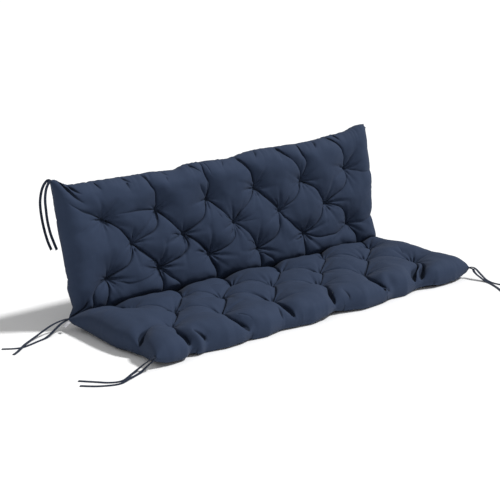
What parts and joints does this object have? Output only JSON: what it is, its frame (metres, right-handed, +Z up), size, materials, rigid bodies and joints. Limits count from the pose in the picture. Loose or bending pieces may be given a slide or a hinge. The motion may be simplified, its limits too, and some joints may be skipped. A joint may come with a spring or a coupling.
{
  "type": "bench cushion",
  "caption": "Tufted one-piece cushion for a garden bench: filled seat and back joined by a stitched fold, with fabric ties at the corners and at the ends of the fold.",
  "frame": {"origin": "on the surface that the cushion lies on, under the seat at mid width, 0.290 m in front of the fold", "axes": "+X along the width to the right as seen from the front, +Y from the seat's front edge towards the back, +Z up"},
  "size_m": [1.8288, 0.9699, 0.5329],
  "materials": {
    "navy_cloth": "smooth plain-woven polyester, matte with a slight sheen",
    "tie_cloth": "the same cloth folded into a flat stitched ribbon",
    "tab_cloth": "smooth pale woven tape, blank"
  },
  "bodies": {
    "root": {"cushion": "navy_cloth", "tie_front_left_a": "tie_cloth", "tie_front_left_b": "tie_cloth", "tie_fold_left_a": "tie_cloth", "tie_fold_left_b": "tie_cloth", "tie_front_right_a": "tie_cloth", "tie_front_right_b": "tie_cloth", "tie_top_left_a": "tie_cloth", "tie_top_left_b": "tie_cloth", "tie_top_right_a": "tie_cloth", "tie_top_right_b": "tie_cloth", "tie_fold_right_a": "tie_cloth", "tie_fold_right_b": "tie_cloth", "side_tab": "tab_cloth"}
  },
  "joints": []
}
